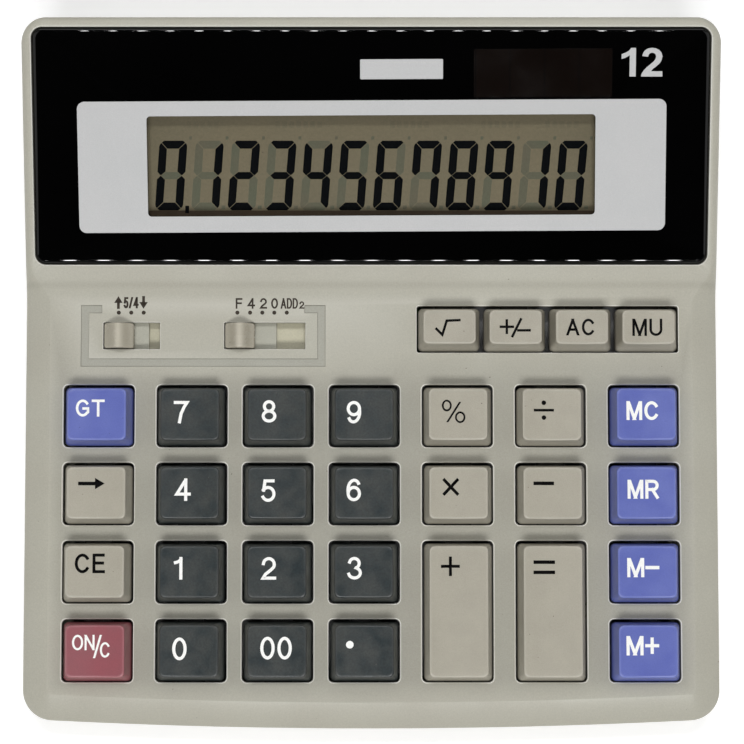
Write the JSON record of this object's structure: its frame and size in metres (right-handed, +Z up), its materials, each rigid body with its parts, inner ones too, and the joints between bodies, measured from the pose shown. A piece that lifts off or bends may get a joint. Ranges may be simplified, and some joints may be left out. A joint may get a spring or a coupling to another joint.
{
  "type": "desktop calculator",
  "caption": "Beige desktop calculator with a sloped digital display under a black panel, a solar window, slide switches and coloured keys in a grid.",
  "frame": {"origin": "on the table, under the middle of the case's footprint", "axes": "+X to the user's right, +Y from the user to the rear, +Z up"},
  "size_m": [0.15, 0.1504, 0.0378],
  "materials": {
    "case": "fine-grained beige moulding",
    "case_base": "fine-grained beige moulding",
    "lens": "glossy black panel with a clear window",
    "lcd_glass": "liquid crystal glass",
    "reflector": "satin reflector film",
    "holder": "black moulding",
    "conductive_rubber": "layered conductive rubber",
    "board": "resin board with green lacquer",
    "solar": "dark brown solar cell",
    "keypad_rubber": "grey silicone rubber",
    "epoxy": "black potting resin",
    "guide": "cream moulding",
    "slider": "satin beige moulding",
    "contact_metal": "nickel-plated spring strip",
    "cell": "plain battery jacket",
    "wire": "insulated wire",
    "ribbon": "flat cable",
    "screw": "zinc-plated steel",
    "foot_rubber": "black rubber",
    "key_beige": "fine-grained beige key",
    "key_blue": "fine-grained blue key",
    "key_red": "fine-grained dull red key",
    "key_dark": "fine-grained charcoal key"
  },
  "bodies": {
    "housing": {"upper_case": "case", "lower_case": "case_base", "display_lens": "lens", "lcd_front_glass": "lcd_glass", "lcd_rear_glass": "lcd_glass", "lcd_reflector": "reflector", "lcd_holder": "holder", "contact_strip": "conductive_rubber", "display_board": "board", "solar_cell": "solar", "rubber_keypad": "keypad_rubber", "key_board": "board", "chip_cap": "epoxy", "switch_guide": "guide", "battery_cell": "cell", "positive_contact": "contact_metal", "negative_contact": "contact_metal", "battery_leads": "wire", "solar_leads": "wire", "display_ribbon": "ribbon", "case_screws": "screw", "board_screws": "screw", "rubber_feet": "foot_rubber"},
    "rounding_switch": {"rounding_slider": "slider", "rounding_wiper": "contact_metal"},
    "decimal_switch": {"decimal_slider": "slider", "decimal_wiper": "contact_metal"},
    "door": {"battery_door": "case_base"},
    "body_key_sqrt": {"key_sqrt": "key_beige"},
    "body_key_sign": {"key_sign": "key_beige"},
    "body_key_ac": {"key_ac": "key_beige"},
    "body_key_mu": {"key_mu": "key_beige"},
    "body_key_gt": {"key_gt": "key_blue"},
    "body_key_7": {"key_7": "key_dark"},
    "body_key_8": {"key_8": "key_dark"},
    "body_key_9": {"key_9": "key_dark"},
    "body_key_percent": {"key_percent": "key_beige"},
    "body_key_divide": {"key_divide": "key_beige"},
    "body_key_mc": {"key_mc": "key_blue"},
    "body_key_back": {"key_back": "key_beige"},
    "body_key_4": {"key_4": "key_dark"},
    "body_key_5": {"key_5": "key_dark"},
    "body_key_6": {"key_6": "key_dark"},
    "body_key_multiply": {"key_multiply": "key_beige"},
    "body_key_minus": {"key_minus": "key_beige"},
    "body_key_mr": {"key_mr": "key_blue"},
    "body_key_ce": {"key_ce": "key_beige"},
    "body_key_1": {"key_1": "key_dark"},
    "body_key_2": {"key_2": "key_dark"},
    "body_key_3": {"key_3": "key_dark"},
    "body_key_plus": {"key_plus": "key_beige"},
    "body_key_equals": {"key_equals": "key_beige"},
    "body_key_memory_minus": {"key_memory_minus": "key_blue"},
    "body_key_on": {"key_on": "key_red"},
    "body_key_0": {"key_0": "key_dark"},
    "body_key_00": {"key_00": "key_dark"},
    "body_key_point": {"key_point": "key_dark"},
    "body_key_memory_plus": {"key_memory_plus": "key_blue"}
  },
  "joints": [
    {"name": "press_sqrt", "type": "slide", "parent": "housing", "child": "body_key_sqrt", "axis": [0, 0.0872, -0.9962], "range_m": [0, 0.002], "stiffness_N_per_m": 300, "springref_m": -0.001, "deforming": ["rubber_keypad"]},
    {"name": "press_sign", "type": "slide", "parent": "housing", "child": "body_key_sign", "axis": [0, 0.0872, -0.9962], "range_m": [0, 0.002], "stiffness_N_per_m": 300, "springref_m": -0.001, "deforming": ["rubber_keypad"]},
    {"name": "press_ac", "type": "slide", "parent": "housing", "child": "body_key_ac", "axis": [0, 0.0872, -0.9962], "range_m": [0, 0.002], "stiffness_N_per_m": 300, "springref_m": -0.001, "deforming": ["rubber_keypad"]},
    {"name": "press_mu", "type": "slide", "parent": "housing", "child": "body_key_mu", "axis": [0, 0.0872, -0.9962], "range_m": [0, 0.002], "stiffness_N_per_m": 300, "springref_m": -0.001, "deforming": ["rubber_keypad"]},
    {"name": "press_gt", "type": "slide", "parent": "housing", "child": "body_key_gt", "axis": [0, 0.0872, -0.9962], "range_m": [0, 0.002], "stiffness_N_per_m": 300, "springref_m": -0.001, "deforming": ["rubber_keypad"]},
    {"name": "press_7", "type": "slide", "parent": "housing", "child": "body_key_7", "axis": [0, 0.0872, -0.9962], "range_m": [0, 0.002], "stiffness_N_per_m": 300, "springref_m": -0.001, "deforming": ["rubber_keypad"]},
    {"name": "press_8", "type": "slide", "parent": "housing", "child": "body_key_8", "axis": [0, 0.0872, -0.9962], "range_m": [0, 0.002], "stiffness_N_per_m": 300, "springref_m": -0.001, "deforming": ["rubber_keypad"]},
    {"name": "press_9", "type": "slide", "parent": "housing", "child": "body_key_9", "axis": [0, 0.0872, -0.9962], "range_m": [0, 0.002], "stiffness_N_per_m": 300, "springref_m": -0.001, "deforming": ["rubber_keypad"]},
    {"name": "press_percent", "type": "slide", "parent": "housing", "child": "body_key_percent", "axis": [0, 0.0872, -0.9962], "range_m": [0, 0.002], "stiffness_N_per_m": 300, "springref_m": -0.001, "deforming": ["rubber_keypad"]},
    {"name": "press_divide", "type": "slide", "parent": "housing", "child": "body_key_divide", "axis": [0, 0.0872, -0.9962], "range_m": [0, 0.002], "stiffness_N_per_m": 300, "springref_m": -0.001, "deforming": ["rubber_keypad"]},
    {"name": "press_mc", "type": "slide", "parent": "housing", "child": "body_key_mc", "axis": [0, 0.0872, -0.9962], "range_m": [0, 0.002], "stiffness_N_per_m": 300, "springref_m": -0.001, "deforming": ["rubber_keypad"]},
    {"name": "press_back", "type": "slide", "parent": "housing", "child": "body_key_back", "axis": [0, 0.0872, -0.9962], "range_m": [0, 0.002], "stiffness_N_per_m": 300, "springref_m": -0.001, "deforming": ["rubber_keypad"]},
    {"name": "press_4", "type": "slide", "parent": "housing", "child": "body_key_4", "axis": [0, 0.0872, -0.9962], "range_m": [0, 0.002], "stiffness_N_per_m": 300, "springref_m": -0.001, "deforming": ["rubber_keypad"]},
    {"name": "press_5", "type": "slide", "parent": "housing", "child": "body_key_5", "axis": [0, 0.0872, -0.9962], "range_m": [0, 0.002], "stiffness_N_per_m": 300, "springref_m": -0.001, "deforming": ["rubber_keypad"]},
    {"name": "press_6", "type": "slide", "parent": "housing", "child": "body_key_6", "axis": [0, 0.0872, -0.9962], "range_m": [0, 0.002], "stiffness_N_per_m": 300, "springref_m": -0.001, "deforming": ["rubber_keypad"]},
    {"name": "press_multiply", "type": "slide", "parent": "housing", "child": "body_key_multiply", "axis": [0, 0.0872, -0.9962], "range_m": [0, 0.002], "stiffness_N_per_m": 300, "springref_m": -0.001, "deforming": ["rubber_keypad"]},
    {"name": "press_minus", "type": "slide", "parent": "housing", "child": "body_key_minus", "axis": [0, 0.0872, -0.9962], "range_m": [0, 0.002], "stiffness_N_per_m": 300, "springref_m": -0.001, "deforming": ["rubber_keypad"]},
    {"name": "press_mr", "type": "slide", "parent": "housing", "child": "body_key_mr", "axis": [0, 0.0872, -0.9962], "range_m": [0, 0.002], "stiffness_N_per_m": 300, "springref_m": -0.001, "deforming": ["rubber_keypad"]},
    {"name": "press_ce", "type": "slide", "parent": "housing", "child": "body_key_ce", "axis": [0, 0.0872, -0.9962], "range_m": [0, 0.002], "stiffness_N_per_m": 300, "springref_m": -0.001, "deforming": ["rubber_keypad"]},
    {"name": "press_1", "type": "slide", "parent": "housing", "child": "body_key_1", "axis": [0, 0.0872, -0.9962], "range_m": [0, 0.002], "stiffness_N_per_m": 300, "springref_m": -0.001, "deforming": ["rubber_keypad"]},
    {"name": "press_2", "type": "slide", "parent": "housing", "child": "body_key_2", "axis": [0, 0.0872, -0.9962], "range_m": [0, 0.002], "stiffness_N_per_m": 300, "springref_m": -0.001, "deforming": ["rubber_keypad"]},
    {"name": "press_3", "type": "slide", "parent": "housing", "child": "body_key_3", "axis": [0, 0.0872, -0.9962], "range_m": [0, 0.002], "stiffness_N_per_m": 300, "springref_m": -0.001, "deforming": ["rubber_keypad"]},
    {"name": "press_plus", "type": "slide", "parent": "housing", "child": "body_key_plus", "axis": [0, 0.0872, -0.9962], "range_m": [0, 0.002], "stiffness_N_per_m": 300, "springref_m": -0.001, "deforming": ["rubber_keypad"]},
    {"name": "press_equals", "type": "slide", "parent": "housing", "child": "body_key_equals", "axis": [0, 0.0872, -0.9962], "range_m": [0, 0.002], "stiffness_N_per_m": 300, "springref_m": -0.001, "deforming": ["rubber_keypad"]},
    {"name": "press_memory_minus", "type": "slide", "parent": "housing", "child": "body_key_memory_minus", "axis": [0, 0.0872, -0.9962], "range_m": [0, 0.002], "stiffness_N_per_m": 300, "springref_m": -0.001, "deforming": ["rubber_keypad"]},
    {"name": "press_on", "type": "slide", "parent": "housing", "child": "body_key_on", "axis": [0, 0.0872, -0.9962], "range_m": [0, 0.002], "stiffness_N_per_m": 300, "springref_m": -0.001, "deforming": ["rubber_keypad"]},
    {"name": "press_0", "type": "slide", "parent": "housing", "child": "body_key_0", "axis": [0, 0.0872, -0.9962], "range_m": [0, 0.002], "stiffness_N_per_m": 300, "springref_m": -0.001, "deforming": ["rubber_keypad"]},
    {"name": "press_00", "type": "slide", "parent": "housing", "child": "body_key_00", "axis": [0, 0.0872, -0.9962], "range_m": [0, 0.002], "stiffness_N_per_m": 300, "springref_m": -0.001, "deforming": ["rubber_keypad"]},
    {"name": "press_point", "type": "slide", "parent": "housing", "child": "body_key_point", "axis": [0, 0.0872, -0.9962], "range_m": [0, 0.002], "stiffness_N_per_m": 300, "springref_m": -0.001, "deforming": ["rubber_keypad"]},
    {"name": "press_memory_plus", "type": "slide", "parent": "housing", "child": "body_key_memory_plus", "axis": [0, 0.0872, -0.9962], "range_m": [0, 0.002], "stiffness_N_per_m": 300, "springref_m": -0.001, "deforming": ["rubber_keypad"]},
    {"name": "rounding_slide", "type": "slide", "parent": "housing", "child": "rounding_switch", "axis": [1, 0, 0], "range_m": [0, 0.0054]},
    {"name": "decimal_slide", "type": "slide", "parent": "housing", "child": "decimal_switch", "axis": [1, 0, 0], "range_m": [0, 0.0107]},
    {"name": "door_slide", "type": "slide", "parent": "housing", "child": "door", "axis": [0, 1, 0], "range_m": [0, 0.016]}
  ]
}
